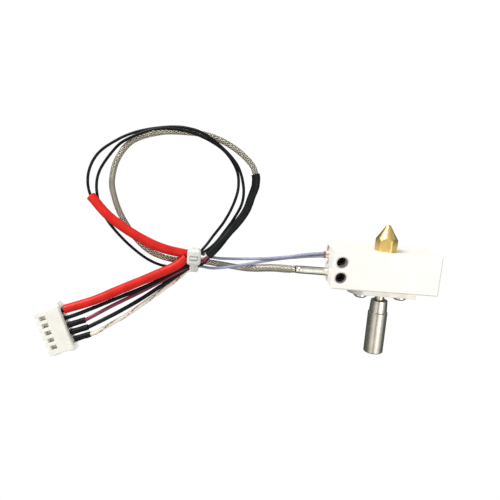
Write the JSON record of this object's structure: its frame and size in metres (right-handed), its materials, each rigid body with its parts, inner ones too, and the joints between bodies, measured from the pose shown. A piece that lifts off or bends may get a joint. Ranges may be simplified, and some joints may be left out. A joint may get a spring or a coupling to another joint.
{
  "type": "3d printer hotend",
  "caption": "Hotend with an aluminium heater block, brass nozzle, stainless heat break, cartridge heater, sensor and a looped wiring harness ending in a plug.",
  "frame": {"origin": "centre of the filament bore's open end, on the nozzle axis at the end of the barrel", "axes": "+Y along the nozzle axis towards the nozzle tip, +X along the block away from the leads, +Z out of the block's front face; the back face and the harness lie on the plane z = -11.5 mm"},
  "size_m": [0.1248, 0.0777, 0.0165],
  "materials": {
    "block_aluminium": "bead blasted",
    "plate_aluminium": "satin",
    "turned_stainless": "turned",
    "sheath_steel": "satin",
    "screw_steel": "satin",
    "grub_steel": "black oxide",
    "nozzle_brass": "turned and milled",
    "ceramic_core": "matte",
    "seal_cement": "matte",
    "sensor_metal": "drawn",
    "lead_insulation": "glass-fibre braid, varnished",
    "tinned_braid": "woven tinned copper",
    "black_shrink": "satin heat-shrink",
    "red_shrink": "satin heat-shrink",
    "black_pvc": "satin extruded",
    "maroon_pvc": "satin extruded",
    "white_pvc": "satin extruded with a red tracer",
    "tie_nylon": "translucent",
    "plug_nylon": "moulded",
    "tinned_contact": "stamped",
    "ferrule": "crimped"
  },
  "bodies": {
    "block": {"heater_block": "block_aluminium", "heat_break": "turned_stainless", "cold_side_plate": "plate_aluminium", "plate_screws": "screw_steel", "heater_cartridge": "sheath_steel", "heater_core": "ceramic_core", "heater_end_seal": "seal_cement", "sensor_tube": "sheath_steel", "sensor_bead": "sensor_metal", "heater_tail_upper": "lead_insulation", "heater_tail_lower": "lead_insulation"},
    "nozzle": {"nozzle": "nozzle_brass"},
    "heater_grub": {"grub_screw_heater": "grub_steel"},
    "sensor_grub": {"grub_screw_sensor": "grub_steel"},
    "harness": {"heater_lead_upper": "lead_insulation", "heater_lead_lower": "lead_insulation", "sensor_cable": "tinned_braid", "breakout_sleeve": "black_shrink", "sensor_wire_maroon": "maroon_pvc", "sensor_wire_black": "black_pvc", "sensor_wire_white": "white_pvc", "loop_wire_outer": "black_pvc", "loop_wire_inner": "black_pvc", "red_sleeve_upper": "red_shrink", "splice_outer": "ferrule", "splice_inner": "ferrule", "cable_tie": "tie_nylon"},
    "plug": {"red_sleeve_lower": "red_shrink", "plug_wire_1": "black_pvc", "plug_wire_2": "black_pvc", "plug_wire_3": "maroon_pvc", "plug_wire_4": "black_pvc", "plug_wire_5": "white_pvc", "pin_sleeves": "black_shrink", "plug_housing": "plug_nylon", "crimp_terminals": "tinned_contact"}
  },
  "joints": [
    {"name": "nozzle_out", "type": "slide", "parent": "block", "child": "nozzle", "axis": [0, 1, 0], "range_m": [0, 0.007]},
    {"name": "heater_grub_out", "type": "slide", "parent": "block", "child": "heater_grub", "axis": [0, 0, 1], "range_m": [0, 0.01]},
    {"name": "sensor_grub_out", "type": "slide", "parent": "block", "child": "sensor_grub", "axis": [0, 0, 1], "range_m": [0, 0.01]},
    {"name": "lead_bend", "type": "hinge", "parent": "block", "child": "harness", "pos_m": [-0.0275, 0.0254, -0.0065], "axis": [0, 0, 1], "range_deg": [-25, 25]},
    {"name": "plug_swing", "type": "hinge", "parent": "harness", "child": "plug", "pos_m": [-0.0624, 0.0215, -0.0085], "axis": [0, 0, 1], "range_deg": [-5, 35]}
  ]
}
